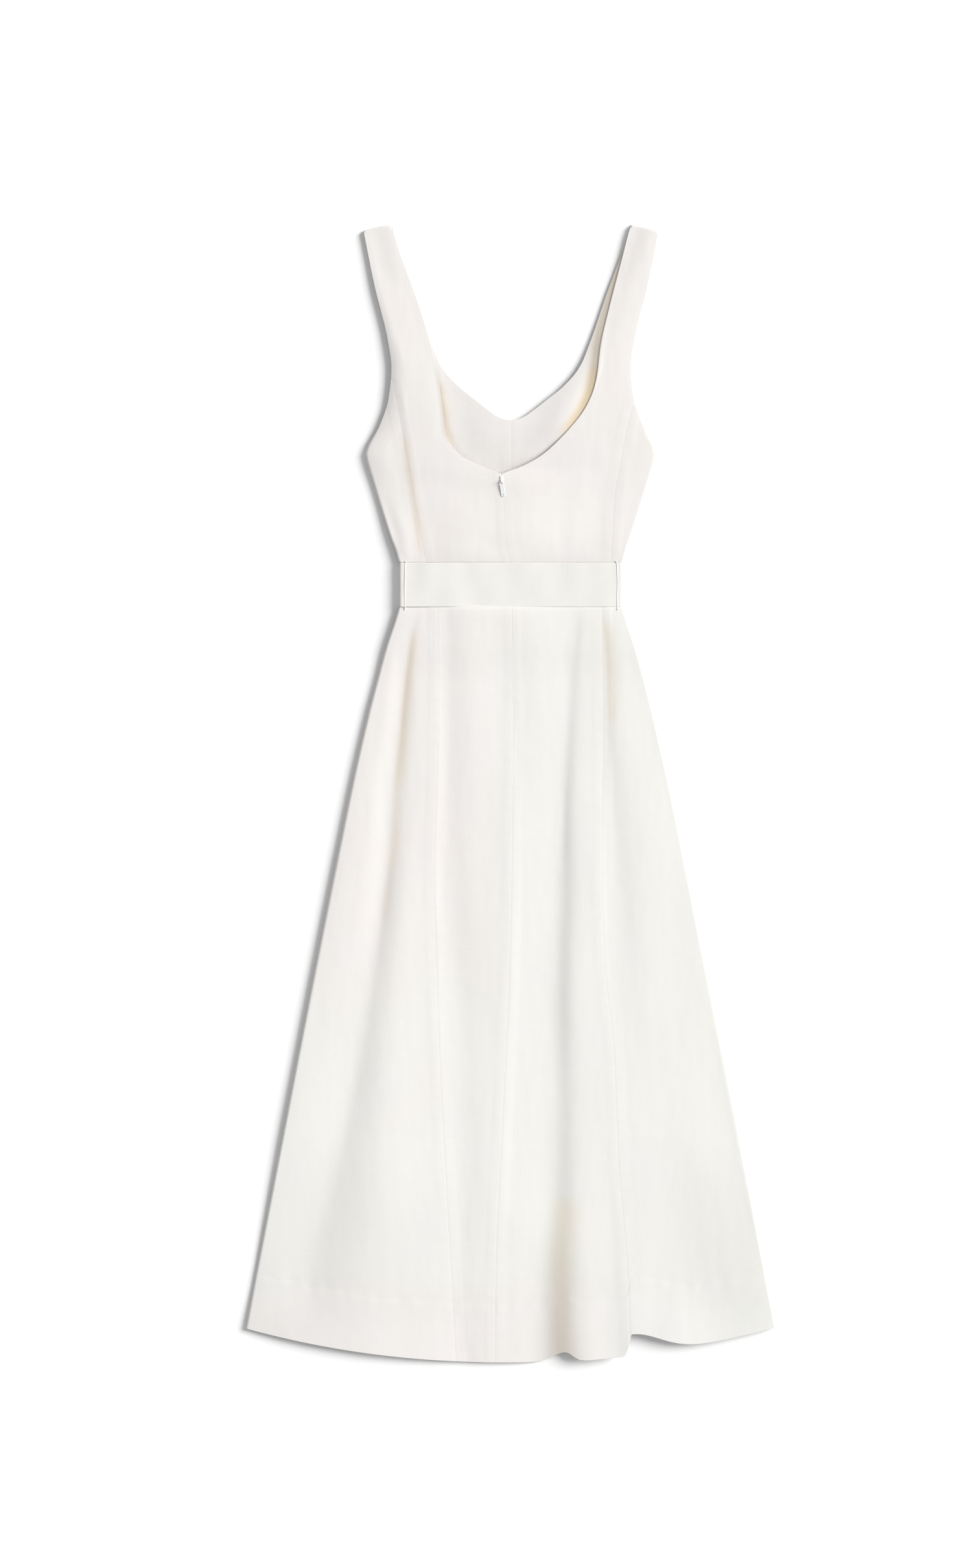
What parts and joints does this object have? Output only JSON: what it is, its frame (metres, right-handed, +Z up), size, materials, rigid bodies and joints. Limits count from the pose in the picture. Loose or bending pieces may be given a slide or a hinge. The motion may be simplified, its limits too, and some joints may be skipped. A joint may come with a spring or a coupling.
{
  "type": "sleeveless belted linen midi dress, laid flat",
  "caption": "Sleeveless A-line midi dress of white linen laid flat, back up: scoop back, wide straps, centre-back zip, self-belt through thread loops, gored skirt with soft folds.",
  "frame": {"origin": "middle of the dress's outline on the surface that it lies on", "axes": "+X across to the wearer's right, which is the viewer's right seen from the back; +Y up the dress from hem to straps; +Z up out of the surface, towards the back of the dress"},
  "size_m": [0.6064, 1.3, 0.0125],
  "materials": {
    "linen": "soft matt plain-weave linen, warm white, with fine slubs",
    "belt_linen": "the same linen over interfacing, a touch cooler and smoother",
    "thread": "twisted polyester thread chain, cream",
    "zip_coil": "nylon coil on woven tape, off-white",
    "zip_metal": "enamelled die-cast zinc, light grey-white",
    "pull_tab": "enamelled tab, white, softly glossy"
  },
  "bodies": {
    "dress": {"front_bodice_left": "linen", "front_bodice_right": "linen", "back_bodice_left": "linen", "back_bodice_right": "linen", "back_side_left": "linen", "back_side_right": "linen", "back_skirt_side_left": "linen", "back_skirt_left": "linen", "back_skirt_right": "linen", "back_skirt_side_right": "linen", "front_skirt": "linen", "belt": "belt_linen", "belt_loop_left": "thread", "belt_loop_right": "thread", "zip_chain": "zip_coil", "zip_slider": "zip_metal"},
    "pull_tab": {"zip_pull_tab": "pull_tab"}
  },
  "joints": [
    {"name": "pull_tab_hinge", "type": "hinge", "parent": "dress", "child": "pull_tab", "pos_m": [-0.01117, 0.3558, 0.01079], "axis": [-1, 0, 0], "range_deg": [0, 160]}
  ]
}
